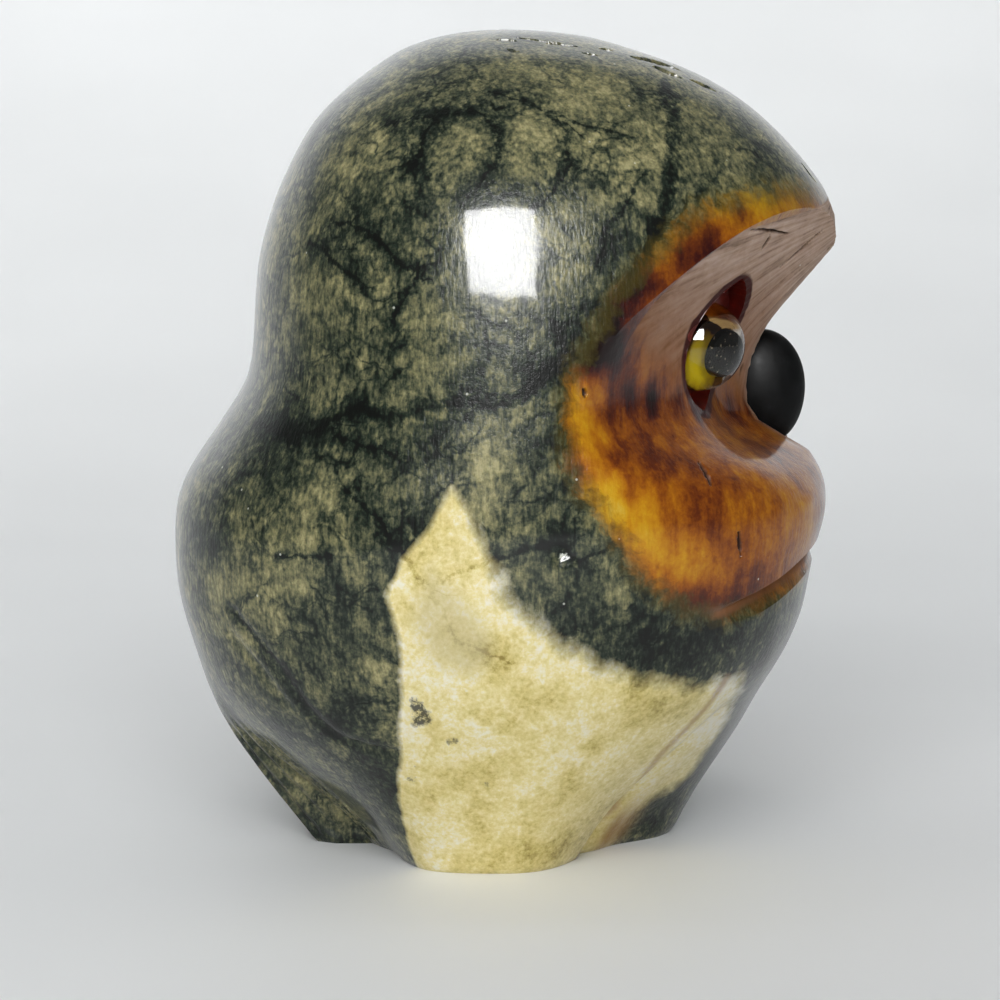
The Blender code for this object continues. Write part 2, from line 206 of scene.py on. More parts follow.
def near_lines(points, normals, lines):
    """Distance across the nearest of several lines, with its sign, and plain distance to it, in mm."""
    plain = np.full(len(points), 1e3)
    across = np.full(len(points), 1e3)
    for line in lines:
        for start, end in zip(line[:-1], line[1:]):
            way = end - start
            share = np.clip(((points - start) @ way) / (way @ way), 0.0, 1.0)
            off = points - start - share[:, None] * way
            far = np.linalg.norm(off, axis=1)
            beside = np.cross(way, normals)
            beside /= np.linalg.norm(beside, axis=1)[:, None] + 1e-9
            closer = far < plain
            plain[closer] = far[closer]
            across[closer] = np.einsum("ij,ij->i", off, beside)[closer]
    return across, plain


def cut_by(points, cuts):
    """How deep in one of several tapering cuts each point is, from 0 beside it to 1 in its middle."""
    deepest = np.zeros(len(points))
    for line, width in cuts:
        start, end = line[0], line[-1]
        share = np.clip(((points - start) @ (end - start)) / ((end - start) @ (end - start)), 0.0, 1.0)
        wide = width * (0.45 + 0.55 * np.sin(math.pi * share)) * (1 + 0.5 * ragged)
        deepest = np.maximum(deepest, 1 - ease(wide * 0.5, wide * 1.3, near_lines(points, facing, [line])[1]))
    return deepest


skin = BVHTree.FromPolygons([v.co for v in body.data.vertices], [p.vertices for p in body.data.polygons])
wings = [on_stone(line) for outline in WING_LINES for line in (outline, mirrored(outline))]
chips = [(on_stone(line), width) for line, width in CHIPS]
ticks = [(on_stone(line), width) for line, width in TICKS]
dent = on_stone([CRYSTAL_DENT])[0]

# The carved places are divided finer before they are cut
for pass_number, reach in enumerate(FINER_WITHIN):
    centres = np.array([f.center for f in body.data.polygons]) / MM
    normals = np.array([f.normal for f in body.data.polygons])
    near_cut = near_lines(centres, normals, [line for line, _ in chips + ticks])[1] < reach
    near_cut |= np.linalg.norm(centres - dent, axis=1) < reach
    if pass_number == 0:
        angle, height = round_about(centres)
        turned = np.abs(angle)
        near_cut |= (turned > TAIL_FINER_BEYOND) & (height < TAIL_FINER_BELOW)
        near_flats = (turned < FLATS_FINER_WITHIN) & (height > FLATS_FINER_ABOVE)
        near_cut |= near_flats & (height < np.interp(turned, *zip(*RIM)) + FLATS_FINER_PAST_RIM)
    for face, chosen in zip(body.data.polygons, near_cut):
        face.select = bool(chosen)
    for edge in body.data.edges:
        edge.select = False
    for vertex in body.data.vertices:
        vertex.select = False
    work_on(body)
    bpy.ops.object.mode_set(mode="EDIT")
    bpy.ops.mesh.select_mode(type="FACE")
    bpy.ops.mesh.subdivide(number_cuts=1, smoothness=0.0)
    bpy.ops.object.mode_set(mode="OBJECT")

stone, facing = read_points(body.data), read_points(body.data, "normal")
angle, height = round_about(stone)
turned = np.abs(angle)
below_rim = np.interp(turned, *zip(*RIM)) - height
behind = np.radians(180 - turned)
comb = 0.5 + 0.5 * np.cos(2 * math.pi * behind / TAIL_GROOVES_EVERY)
comb *= 1 - ease(TAIL_GROOVES_SPREAD * 0.8, TAIL_GROOVES_SPREAD, behind)
comb *= 1 - ease(TAIL_GROOVES_TOP * 0.75, TAIL_GROOVES_TOP, height + 0.8 * rough(stone, 2.0, 3.0))
off_wing = near_lines(stone, facing, wings)[1]
flat = ease(*FLAT_STARTS_UNDER_RIM, below_rim) * ease(*FLAT_STARTS_OVER_CHEEK, height)
flat *= 1 - ease(*FLAT_ENDS_AT_SIDE, turned)
ragged = rough(stone, 0.7, 11.0)
flaked = cut_by(stone, chips)
ticked = cut_by(stone, ticks)

# File strokes fan out from the tip of the brow
aside = np.radians(turned) * FACE_RADIUS
spoke = np.arctan2(BROW_TIP - height, aside) * STROKE_RADIUS
along_spoke = np.hypot(BROW_TIP - height, aside)
strokes = np.stack([spoke / FILE_MARK_SIZE, along_spoke / FILE_MARK_LENGTH, np.sign(angle) * SIDES_APART], 1)
filed_by = 0.5 + 0.5 * rough(strokes, 1.0, 7.0)
sunk = HAND_WAVE_DEPTH * (0.5 + 0.5 * rough(stone, HAND_WAVE_SIZE))
sunk += TAIL_GROOVE_DEPTH * comb
sunk += WING_LINE_DEPTH * np.exp(-(off_wing / WING_LINE_WIDTH) ** 2)
sunk += FILE_MARK_DEPTH * flat * filed_by
sunk += CHIP_DEPTH * np.maximum(flaked, 0.6 * ticked)
in_dent = 1 - ease(0.0, DENT_REACH, np.linalg.norm(stone - dent, axis=1) + 0.5 * ragged)
sunk += DENT_DEPTH * in_dent
sunk *= ease(*STANDING_EDGE, height)
stone = stone - facing * sunk[:, None]
stone[:, 2] = np.maximum(stone[:, 2], 0.0)
body.data.vertices.foreach_set("co", (stone * MM).ravel())
body.data.update()
work_on(body)
bpy.ops.object.shade_smooth_by_angle(angle=SHARP_FROM)


# The stone's colours
# A grey green alabaster clouded with black, with a cream seam through its flank and dark healed cracks.
# The face was rubbed with amber and red dye before the flats were filed bare again. Outlines and clouds
# are places on the stone as above, and a cloud also has a reach in mm and a strength.
UNROLLED_RADIUS = 36.0
CREAM_RIGHT = (
    (104, 47), (108, 42.4), (112, 39.1), (115, 35), (113, 30), (114, 23), (117, 15), (121, 9.7), (124, 3),
    (125, -4), (38, -4), (38, 4.5), (22, 7.7), (27, 13.4), (42, 22.9), (58, 23.2), (67, 24.2), (78, 26.5),
    (89, 31.2), (96, 36), (99, 41), (101, 44.6),
)
CREAM_LEFT = (
    (-96, 33), (-108, 30), (-113, 21), (-109, 12), (-117, 4), (-118, -4), (-62, -4), (-60, 9), (-74, 19),
    (-86, 24),
)
CRISP_SIDE, SOFT_SIDE, CRISP_BEYOND = 0.9, 3.0, (96, 106)
GREY_SEAM = ((108, 38.6), (102, 36), (96, 30.3), (97, 27), (101, 25.2), (108, 27), (112, 32.5))
DYED_FACE = (
    (0, 78), (12, 77.6), (29, 78.4), (45, 77.9), (57, 75.8), (67, 71.2), (73, 68), (78, 63.9), (82, 59.4),
    (84, 55.3), (84, 49.9), (80, 45.5), (75, 40.6), (70, 36), (61, 32.5), (53, 31.5), (45, 32), (12, 34),
    (0, 34.5),
)
FLATS_LOWER = (
    (0, 45.0), (7, 46.5), (11, 51.5), (16, 54.5), (30, 55.5), (50, 56), (60, 57.5), (66, 60), (73, 63.5),
)
CHIN_BAND = ((0, 37.1), (14, 36.8), (40, 34.2), (46, 33.4), (53, 32.5), (60, 32.3))
CHIN_BAND_TALL, CHIN_BAND_ENDS, CHIN_BAND_TAPER = 1.3, 56, 0.3
FLANK_EDGE = ((48, 23.4), (49, 19.5), (53, 14), (51, 5.8), (64, 0.2))
WIDE_CRACKS = (
    (
        (39, 90.5), (48, 87.2), (55.7, 82.9), (59.5, 79.2), (62.7, 76), (65.3, 73.9), (68.5, 71), (71, 68.5),
        (76, 65),
    ),
    (
        (124, 55), (117.4, 54.6), (113.6, 54.3), (110.8, 55.3), (102.5, 55.9), (94.8, 56.2), (91.3, 57),
        (88, 59.1), (83, 61.6),
    ),
)
CRACKS_RIGHT = (
    ((149, 51.9), (139, 51.2), (132.5, 52), (124, 55)),
    ((131.7, 75), (124, 74.3), (119.4, 72.5), (115.7, 70.8), (112, 69.9), (110.3, 70.4)),
    ((112, 69.9), (112.4, 68.3), (114.7, 66.7), (115.6, 65.3)),
    ((138, 72.2), (131, 70.5), (126.7, 69), (124, 68.6)),
    ((125, 85.9), (116.7, 86.5), (102.7, 87.1), (98, 85.9), (96.2, 84.6), (96.8, 81.8), (98.9, 80.5)),
    ((113.8, 86.5), (115, 84.8), (114.8, 82.8), (116.5, 81.5)),
    ((93.8, 88.8), (88.8, 88.4), (83, 87.3), (74.2, 85.7), (66.4, 84.8)),
    ((83, 87.2), (79.6, 84.8), (80, 81.7), (83, 79.7), (86.7, 77.9)),
    ((66, 79.5), (74, 75), (76, 72)),
    ((126, 51.8), (114, 50.2)),
    ((121, 45.4), (117, 43.8), (114, 41.3)),
    ((133, 38.6), (127, 38.9)),
    ((146, 30.7), (137, 25.6), (135, 22.2), (131, 19)),
    ((98, 39.3), (93, 39.7), (88, 40.7), (85, 40.9), (83, 38.7), (78, 40), (75, 40.8)),
    ((112, 40), (105, 33), (103, 30.3), (96, 28.2)),
    ((106, 36.5), (104, 37.6), (99, 38.5)),
)
CRACKS_LEFT = (
    ((-40, 91), (-52, 84), (-60, 76), (-66, 68), (-80, 62)),
    ((-150, 60), (-132, 56), (-110, 57), (-92, 52), (-84, 45)),
    ((-128, 76), (-112, 72), (-104, 66), (-108, 58)),
    ((-140, 40), (-124, 36), (-118, 28)),
)
CLOUDS = (
    (85, 85, 4, 0.20), (72, 84, 5, 0.18), (75, 88, 3, 0.12), (59, 87, 4, 0.12), (83, 78, 4, 0.12),
    (107, 82, 4, 0.08), (96, 92, 5, 0.12), (140, 85, 6, 0.12), (39, 85, 5, 0.10), (107, 75, 2.2, 0.14),
    (110, 58, 1.8, 0.12),
    (117, 66, 3, 0.06), (110, 67, 3, 0.08), (130, 38, 3, 0.14), (145, 28, 2.5, 0.14), (151, 33, 3, 0.12),
    (138, 35, 3, 0.12), (92, 49, 3, 0.12), (99, 46, 3.5, 0.24), (80, 45, 4, 0.08), (20, 86, 4, 0.08),
    (87, 59.5, 3.2, -0.34), (76, 73.4, 3, -0.20), (68, 73, 3, -0.20), (139, 58, 5, -0.16),
    (124, 75.6, 2, -0.20), (89, 51, 2.5, -0.26), (73, 67, 3.2, -0.36), (80, 65, 3, -0.24), (85, 32, 4, -0.26),
    (69, 29, 5, -0.34), (100, 56.5, 2.6, -0.26), (118, 58.5, 3.5, -0.20), (135, 21, 4, -0.18),
    (106, 53, 3, -0.14), (125, 51, 4, -0.16), (138, 50, 4, -0.22), (157, 39, 2.6, -0.26),
    (123, 37, 1.8, -0.22), (124, 33, 1.8, -0.22), (118, 35, 2, -0.20), (127, 20, 5, -0.16),
    (120, 12, 4, -0.22), (128, 28, 3, -0.12), (55, 29, 5, -0.30), (36, 25, 7, -0.34),
    (20, 12, 8, -0.36), (10, 25, 8, -0.34), (32, 84, 2.5, -0.12), (132, 10, 6, -0.12), (146, 12, 6, -0.10),
    (-20, 20, 10, -0.25), (-60, 84, 8, 0.14), (-100, 80, 8, 0.12), (-100, 62, 6, -0.20), (-130, 45, 6, 0.12),
    (-80, 40, 7, -0.12), (-150, 30, 6, -0.20), (180, 75, 9, 0.08), (178, 40, 6, 0.08), (175, 20, 8, -0.12),
)
# BRIGHT and PALE clouds are partly painted light: a glow along the thin side edge of the face and a highlight
# under the eye
BRIGHT, PALE, BROWN, RED = 0.22, 0.30, -0.22, -0.50
DYE_CLOUDS = (
    (81.5, 57, 2.6, BRIGHT), (80, 52, 2.8, BRIGHT), (78, 47, 2.6, PALE), (74.8, 44.5, 2.2, PALE),
    (71, 41.5, 2.4, PALE), (66, 38.5, 3.2, PALE), (59, 37, 2.6, BRIGHT), (50, 76, 2.4, 0.1),
    (38, 77, 2.4, 0.1), (30, 77.5, 2.4, 0.1), (63, 73.5, 2, 0.1), (30, 42, 5, 0.10), (12, 44, 4, 0.10),
    (75, 66.5, 3.0, RED), (78, 62.5, 2.2, RED), (73, 61, 2.0, -0.3), (69, 56, 2.2, -0.35),
    (61, 55.5, 2.2, RED), (52, 54.5, 2.6, -0.4), (44, 53.5, 2.0, -0.4), (18, 52, 2.5, BROWN),
    (62, 33, 3.0, -0.42), (52, 32.5, 2.2, -0.3), (82, 48.5, 1.6, BROWN), (75.5, 54, 1.4, -0.3),
    (75, 50, 1.3, -0.3), (73.5, 46, 1.2, -0.25), (56, 72, 2, BROWN), (67, 69, 2, BROWN),
    (53, 74, 1.8, -0.22), (60, 71.5, 1.6, -0.26), (46, 76, 1.2, BROWN), (55, 47, 5, -0.05),
    (40, 45, 4, -0.06), (30, 47, 4, -0.10), (66, 50, 3, -0.12), (80, 61, 2.5, RED), (71, 68.5, 1.6, -0.3),
)
SMUDGES = (
    (76, 16.7, 1.6, 0.5), (79, 12.3, 1.8, 0.5), (76, 5.1, 2.0, 0.35), (64, 21.1, 1.6, 0.6),
    (88, 3.4, 2.2, 0.3), (60, 13.8, 2.4, 0.3), (69, 22, 3.2, 0.45), (57, 21, 3.5, 0.75),
    (108, 18.5, 1.8, 0.4), (104, 12.5, 1.6, 0.35), (70, 24, 2.5, 0.3), (92, 20, 2.0, 0.25),
    (-80, 12, 2.5, 0.4), (-98, 22, 2.0, 0.5), (-105, 8, 2.0, 0.35), (-70, 6, 2.5, 0.3),
)
INCLUSIONS = (
    (111.5, 22.4, 1.3, 1.0), (110.0, 20.6, 1.2, 1.0), (112.5, 20.0, 0.9, 0.8), (106, 17.8, 0.8, 0.9),
    (104.5, 17.9, 0.5, 0.8), (116, 12.6, 1.0, 0.95), (114, 14.2, 0.6, 0.8), (99, 12.2, 0.9, 0.8),
    (95.5, 12.3, 0.7, 0.7), (106, 12.9, 0.5, 0.8), (-101, 18, 1.1, 0.9), (-88, 9, 0.8, 0.8),
)
OLIVE_DYE = (
    (8, 79, 3.5, 0.8), (18, 79, 3.5, 0.8), (28, 79, 3.5, 0.8), (38, 78.5, 3.0, 0.8), (47, 77.5, 2.6, 0.7),
    (56, 75.5, 2.2, 0.5), (64, 72.5, 2.2, 0.5), (70, 70, 2.0, 0.5),
)
# painted glow: warm amber at the front of the foot, where light through the stone shows under the face
PAINTED_FOOT_GLOW = ((44, 2.2, 3.6, 0.9), (36, 2.6, 3.0, 0.6))
EYE_STAIN_BEHIND, EYE_STAIN_NARROWER, EYE_STAIN_RAISED = -4.0, 1.25, 0.6


def inside_by(outline, angle, height):
    """How far inside a closed outline each place is, in mm on the unrolled block, below 0 outside."""
    places = np.stack([np.radians(angle) * UNROLLED_RADIUS, height], 1)
    corners = np.array([(math.radians(a) * UNROLLED_RADIUS, h) for a, h in outline])
    nearest = np.full(len(places), 1e3)
    within = np.zeros(len(places), bool)
    for start, end in zip(corners, np.roll(corners, -1, 0)):
        way = end - start
        share = np.clip(((places - start) @ way) / (way @ way), 0.0, 1.0)
        nearest = np.minimum(nearest, np.linalg.norm(places - start - share[:, None] * way, axis=1))
        spans = (start[1] > places[:, 1]) != (end[1] > places[:, 1])
        if start[1] != end[1]:
            crossing = start[0] + (places[:, 1] - start[1]) / (end[1] - start[1]) * way[0]
            within ^= spans & (places[:, 0] < crossing)
    return np.where(within, nearest, -nearest)


def clouded(clouds, angle, height):
    """The sum of soft round clouds at each place, each with its own place, reach and strength."""
    total = np.zeros(len(angle))
    for at, level, reach, strength in clouds:
        turn = (angle - at + 180) % 360 - 180
        away = (np.radians(turn) * UNROLLED_RADIUS) ** 2 + (height - level) ** 2
        total += strength * np.exp(-away / reach ** 2)
    return total


def keep(mesh, name, values):
    """Stores a number, or three, for each vertex, for the material to read."""
    kind, field = ("FLOAT", "value") if values.ndim == 1 else ("FLOAT_VECTOR", "vector")
    mesh.attributes.new(name, kind, "POINT").data.foreach_set(field, values.astype(np.float32).ravel())


def from_eyes(points):
    """Distance in mm from the middle of the nearer eye, across its face."""
    nearest = np.full(len(points), 1e3)
    for back in eye_backs.values():
        local = (np.c_[points * MM, np.ones(len(points))] @ np.array(back.inverted()).T)[:, :3] / MM
        away = np.hypot(local[:, 0] * EYE_STAIN_NARROWER, local[:, 1] - EYE_STAIN_RAISED)
        nearest = np.where(local[:, 2] > EYE_STAIN_BEHIND, np.minimum(nearest, away), nearest)
    return nearest


def from_sockets(points):
    """Distance in mm from the nearest point of a socket's wall."""
    inside = {v for face in body.data.polygons if face.material_index == 1 for v in face.vertices}
    tree = KDTree(len(inside))
    for number, vertex in enumerate(inside):
        tree.insert(points[vertex], number)
    tree.balance()
    return np.array([tree.find(p)[2] for p in points])


facing = read_points(body.data, "normal")
crispness = CRISP_SIDE + (SOFT_SIDE - CRISP_SIDE) * (1 - ease(*CRISP_BEYOND, angle))
cream_right = inside_by(CREAM_RIGHT, angle, height) / crispness
keep(body.data, "cream", np.maximum(cream_right, inside_by(CREAM_LEFT, angle, height) / SOFT_SIDE))
keep(body.data, "grey_seam", inside_by(GREY_SEAM, angle, height))
keep(body.data, "dyed", inside_by(DYED_FACE + mirrored(DYED_FACE[-2:0:-1]), angle, height))
keep(body.data, "clouds", clouded(CLOUDS, angle, height))
keep(body.data, "dye_clouds", clouded(DYE_CLOUDS, turned, height))
keep(body.data, "smudges", clouded(SMUDGES, angle, height))
keep(body.data, "inclusions", clouded(INCLUSIONS, angle, height))
keep(body.data, "painted_foot_glow", clouded(PAINTED_FOOT_GLOW, turned, height))
keep(body.data, "below_rim", below_rim)
keep(body.data, "above_cheek", height - np.interp(turned, *zip(*FLATS_LOWER)))
keep(body.data, "filing", strokes)
under_chin = np.interp(turned, *zip(*CHIN_BAND)) - height
chin_band = np.minimum(under_chin, CHIN_BAND_TALL - under_chin)
keep(body.data, "chin_band", np.minimum(chin_band, (CHIN_BAND_ENDS - turned) * CHIN_BAND_TAPER))
edges = [on_stone(FLANK_EDGE), on_stone(mirrored(FLANK_EDGE))]
keep(body.data, "flank_edge", near_lines(stone, facing, edges)[1])
across, plain = near_lines(stone, facing, [on_stone(line) for line in CRACKS_RIGHT + CRACKS_LEFT])
keep(body.data, "across_crack", across)
keep(body.data, "from_crack", plain)
keep(body.data, "from_wide_crack", near_lines(stone, facing, [on_stone(line) for line in WIDE_CRACKS])[1])
keep(body.data, "flaked", flaked)
keep(body.data, "ticked", ticked)
keep(body.data, "in_dent", in_dent)
keep(body.data, "from_eye", from_eyes(stone))
keep(body.data, "olive_dye", clouded(OLIVE_DYE, turned, height))
keep(body.data, "from_socket", from_sockets(stone))


def linear(code):
    """An sRGB hex colour as linear light."""
    parts = [int(code[i:i + 2], 16) / 255 for i in (1, 3, 5)]
    return tuple(c / 12.92 if c <= 0.04045 else ((c + 0.055) / 1.055) ** 2.4 for c in parts) + (1.0,)


def add(tree, kind, inputs=(), stops=(), **settings):
    """A shader node with its settings, its colour stops, and what feeds its inputs."""
    node = tree.nodes.new("ShaderNode" + kind)
    for name, value in settings.items():
        setattr(node, name, value)
    if stops:
        while len(stops) > len(node.color_ramp.elements):
            node.color_ramp.elements.new(1.0)
        for element, (place, code) in zip(node.color_ramp.elements, stops):
            element.position = place
            element.color = linear(code)
    for key, value in dict(inputs).items():
        socket = node.inputs[key] if isinstance(key, int) else next(
            s for s in node.inputs if s.name == key and s.enabled)
        if isinstance(value, bpy.types.Node):
            value = next(s for s in value.outputs if s.enabled)
        if isinstance(value, bpy.types.NodeSocket):
            tree.links.new(value, socket)
        else:
            socket.default_value = value
    return node


def new_material(name):
    made = bpy.data.materials.new(name)
    made.use_nodes = True
    return made, made.node_tree, made.node_tree.nodes["Principled BSDF"]


def per_mm(size):
    """Scale of a pattern whose features are some mm across."""
    return 1 / (size * MM)


# Alabaster is soft and fine grained and lets light in a little way, so its pale parts glow. Wax over
# the polish gives a clear thin gloss with a haze at grazing angles, and bare filed stone is chalky.
alabaster, tree, shader = new_material("polished_and_waxed_alabaster")
place = add(tree, "TexCoord").outputs["Object"]
read = {name: add(tree, "Attribute", attribute_name=name).outputs["Fac"] for name in (
    "cream", "grey_seam", "dyed", "clouds", "dye_clouds", "smudges", "inclusions", "painted_foot_glow",
    "below_rim", "above_cheek", "chin_band", "flank_edge", "across_crack", "from_crack", "from_wide_crack",
    "flaked", "ticked", "in_dent", "from_eye", "olive_dye", "from_socket")}

# The grain, from clouds some 14 mm across to flecks of half a mm, and bent by two slower patterns
DRIFT_BY, WANDER_BY = (9 * MM,) * 3, (3.5 * MM,) * 3
wander = add(tree, "TexNoise", {"Vector": place, "Scale": per_mm(3.0), "Detail": 3.0, "Roughness": 0.6})
drift = add(tree, "TexNoise", {"Vector": place, "Scale": per_mm(11.0), "Detail": 2.0})
off_place = add(tree, "VectorMath", {0: drift.outputs["Color"], 1: DRIFT_BY, 2: place},
                operation="MULTIPLY_ADD")
drifted = add(tree, "VectorMath", {0: wander.outputs["Color"], 1: WANDER_BY, 2: off_place},
              operation="MULTIPLY_ADD")
large = add(tree, "TexNoise", {"Vector": place, "Scale": per_mm(14.0), "Detail": 2.0, "Roughness": 0.55})
blobs = add(tree, "TexNoise", {"Vector": drifted, "Scale": per_mm(4.6), "Detail": 2.0, "Roughness": 0.45})
mottle = add(tree, "TexNoise", {"Vector": drifted, "Scale": per_mm(1.9), "Detail": 4.0, "Roughness": 0.62})
fine = add(tree, "TexNoise", {"Vector": place, "Scale": per_mm(0.62), "Detail": 3.0, "Roughness": 0.7})
slanted = add(tree, "Mapping", {"Vector": place, "Rotation": (0.45, 0.0, 0.0), "Scale": (1.0, 1.0, 0.36)})
flecks = add(tree, "TexNoise", {"Vector": slanted, "Scale": per_mm(0.55), "Detail": 2.0, "Roughness": 0.65})
tall = add(tree, "Mapping", {"Vector": place, "Scale": (1.0, 1.0, 0.09)})
scratch = add(tree, "TexNoise", {"Vector": tall, "Scale": per_mm(0.42), "Detail": 2.0, "Roughness": 0.5})
streaked = add(tree, "Mapping", {"Vector": place, "Scale": (1.0, 1.0, 0.16)})
streaks = add(tree, "TexNoise", {"Vector": streaked, "Scale": per_mm(2.2), "Detail": 3.0, "Roughness": 0.6})

# Healed cracks run between lumps a few mm across, in dark threads that come and go
lumps = add(tree, "TexVoronoi", {"Vector": drifted, "Scale": per_mm(3.4)}, feature="DISTANCE_TO_EDGE")
lump_light = add(tree, "MapRange", {"Value": lumps, "From Max": 0.50})
threads = add(tree, "MapRange", {"Value": lumps, "From Max": 0.08, "To Min": 1.0, "To Max": 0.0})
wide_lumps = add(tree, "TexVoronoi", {"Vector": drifted, "Scale": per_mm(9.0)}, feature="DISTANCE_TO_EDGE")
wide_threads = add(tree, "MapRange", {"Value": wide_lumps, "From Max": 0.035, "To Min": 1.0, "To Max": 0.0})
threads = add(tree, "Math", {0: threads, 1: 0.55}, operation="MULTIPLY")
threads = add(tree, "Math", {0: threads, 1: wide_threads}, operation="MAXIMUM")
comes_and_goes = add(tree, "TexNoise", {"Vector": place, "Scale": per_mm(6.0), "Detail": 2.0})
threads_shown = add(tree, "MapRange", {"Value": comes_and_goes, "From Min": 0.42, "From Max": 0.58})
threads = add(tree, "Math", {0: threads, 1: threads_shown}, operation="MULTIPLY")

# The long cracks have a crisp dark line in a soft dark band
crack_off = add(tree, "Math", {0: wander, 1: -0.5}, operation="ADD")
crack_off = add(tree, "Math", {0: crack_off, 1: 2.2, 2: read["across_crack"]}, operation="MULTIPLY_ADD")
crack_off = add(tree, "Math", {0: crack_off}, operation="ABSOLUTE")
crack_off = add(tree, "Math", {0: fine, 1: 0.8, 2: crack_off}, operation="MULTIPLY_ADD")
crack_line = add(tree, "MapRange", {
    "Value": crack_off, "From Min": 0.45, "From Max": 0.95, "To Min": 1.0, "To Max": 0.0})
crack_halo = add(tree, "MapRange", {
    "Value": crack_off, "From Min": 0.4, "From Max": 2.4, "To Min": 0.5, "To Max": 0.0})
crack_near = add(tree, "MapRange", {
    "Value": read["from_crack"], "From Min": 1.6, "From Max": 2.6, "To Min": 1.0, "To Max": 0.0})
crack_line = add(tree, "Math", {0: crack_line, 1: crack_halo}, operation="MAXIMUM")
crack_line = add(tree, "Math", {0: crack_line, 1: crack_near}, operation="MULTIPLY")
wide_off = add(tree, "Math", {0: mottle, 1: 2.4, 2: read["from_wide_crack"]}, operation="MULTIPLY_ADD")
wide_crack = add(tree, "MapRange", {
    "Value": wide_off, "From Min": 1.1, "From Max": 2.3, "To Min": 1.0, "To Max": 0.0})
crack_line = add(tree, "Math", {0: crack_line, 1: wide_crack}, operation="MAXIMUM")

# How far each grain and each mark lightens or darkens the grey stone, and then the cream
GREY_GRAIN = ((large, 0.6), (blobs, 0.65), (mottle, 0.75), (fine, 0.8), (flecks, 0.8), (scratch, 0.35))
GREY_MARKS = ((lump_light, 0.22), (threads, -0.30), (crack_line, -0.55))
GREY_MIDDLE = 0.50
grey_start = GREY_MIDDLE - sum(strength for _, strength in GREY_GRAIN) / 2
tone = add(tree, "Math", {0: read["clouds"], 1: grey_start}, operation="ADD")
for source, strength in GREY_GRAIN + GREY_MARKS:
    tone = add(tree, "Math", {0: source, 1: strength, 2: tone}, operation="MULTIPLY_ADD")
GREY_STONE = (
    (0.0, "#040704"), (0.18, "#0D140E"), (0.34, "#212A20"), (0.48, "#3C4130"), (0.62, "#595A42"),
    (0.80, "#787553"), (1.0, "#9A946C"),
)
grey = add(tree, "ValToRGB", {"Fac": tone}, stops=GREY_STONE)

CREAM_STONE = (
    (0.0, "#8A7A3C"), (0.25, "#B4A562"), (0.5, "#CCBD7E"), (0.75, "#DACE9A"), (1.0, "#DEDAC8"),
)
level = add(tree, "SeparateXYZ", {0: place}).outputs["Z"]
whiter_up = add(tree, "MapRange", {"Value": level, "From Min": 2 * MM, "From Max": 44 * MM, "To Max": 0.34})
CREAM_GRAIN = ((large, 1.1), (blobs, 0.8), (mottle, 0.8), (fine, 1.1))
CREAM_MARKS = ((crack_line, -0.40), (read["smudges"], -0.55))
CREAM_MIDDLE = 0.52
cream_start = CREAM_MIDDLE - sum(strength for _, strength in CREAM_GRAIN) / 2
cream_tone = add(tree, "Math", {0: whiter_up, 1: cream_start}, operation="ADD")
for source, strength in CREAM_GRAIN + CREAM_MARKS:
    cream_tone = add(tree, "Math", {0: source, 1: strength, 2: cream_tone}, operation="MULTIPLY_ADD")
cream = add(tree, "ValToRGB", {"Fac": cream_tone}, stops=CREAM_STONE)
in_seam = add(tree, "Math", {0: mottle, 1: 1.6, 2: read["grey_seam"]}, operation="MULTIPLY_ADD")
in_seam = add(tree, "MapRange", {"Value": in_seam, "From Min": 0.2, "From Max": 2.6, "To Max": 0.50})
cream = add(tree, "Mix", {"Factor": in_seam, "A": cream, "B": linear("#AEA583")}, data_type="RGBA")
spots = add(tree, "Math", {0: fine, 1: read["inclusions"]}, operation="MULTIPLY")
spots = add(tree, "MapRange", {"Value": spots, "From Min": 0.30, "From Max": 0.48, "To Max": 0.9})
cream = add(tree, "Mix", {"Factor": spots, "A": cream, "B": linear("#26261A")}, data_type="RGBA")
cream_off = add(tree, "Math", {0: blobs, 1: 1.3, 2: read["cream"]}, operation="MULTIPLY_ADD")
cream_off = add(tree, "Math", {0: mottle, 1: 0.6, 2: cream_off}, operation="MULTIPLY_ADD")
cream_edge = add(tree, "MapRange", {"Value": cream_off, "From Min": 0.50, "From Max": 1.40})
stone_colour = add(tree, "Mix", {"Factor": cream_edge, "A": grey, "B": cream}, data_type="RGBA")

# The dye sank in unevenly: amber over the face, brown and red where it pooled, olive where it thins out
AMBER_DYE = (
    (0.0, "#120201"), (0.16, "#330803"), (0.32, "#5A2403"), (0.46, "#824404"), (0.60, "#A06206"),
    (0.74, "#B27C0C"), (0.87, "#BC9016"), (1.0, "#BE9F38"),
)
DYE_GRAIN = ((streaks, 0.6), (large, 0.7), (mottle, 0.4), (fine, 0.25))
DYE_MIDDLE = 0.49
dye_start = DYE_MIDDLE - sum(strength for _, strength in DYE_GRAIN) / 2
dye = add(tree, "Math", {0: read["dye_clouds"], 1: dye_start}, operation="ADD")
for source, strength in DYE_GRAIN:
    dye = add(tree, "Math", {0: source, 1: strength, 2: dye}, operation="MULTIPLY_ADD")
amber = add(tree, "ValToRGB", {"Fac": dye}, stops=AMBER_DYE)
olive_dye = add(tree, "ValToRGB", {"Fac": dye}, stops=(
    (0.15, "#2A0C03"), (0.35, "#4E2E06"), (0.55, "#6E5808"), (0.75, "#86740C"), (0.95, "#968418")))
amber = add(tree, "Mix", {"Factor": read["olive_dye"], "A": amber, "B": olive_dye}, data_type="RGBA")
thin_dye = add(tree, "Math", {0: mottle, 1: 5.0, 2: read["dyed"]}, operation="MULTIPLY_ADD")
olive = add(tree, "MapRange", {"Value": thin_dye, "From Min": 0.4, "From Max": 3.2, "To Max": 0.62})
stone_colour = add(tree, "Mix", {
    "Factor": olive, "A": stone_colour, "B": linear("#5E5210")}, data_type="RGBA")
full_dye = add(tree, "MapRange", {"Value": thin_dye, "From Min": 1.6, "From Max": 4.2})
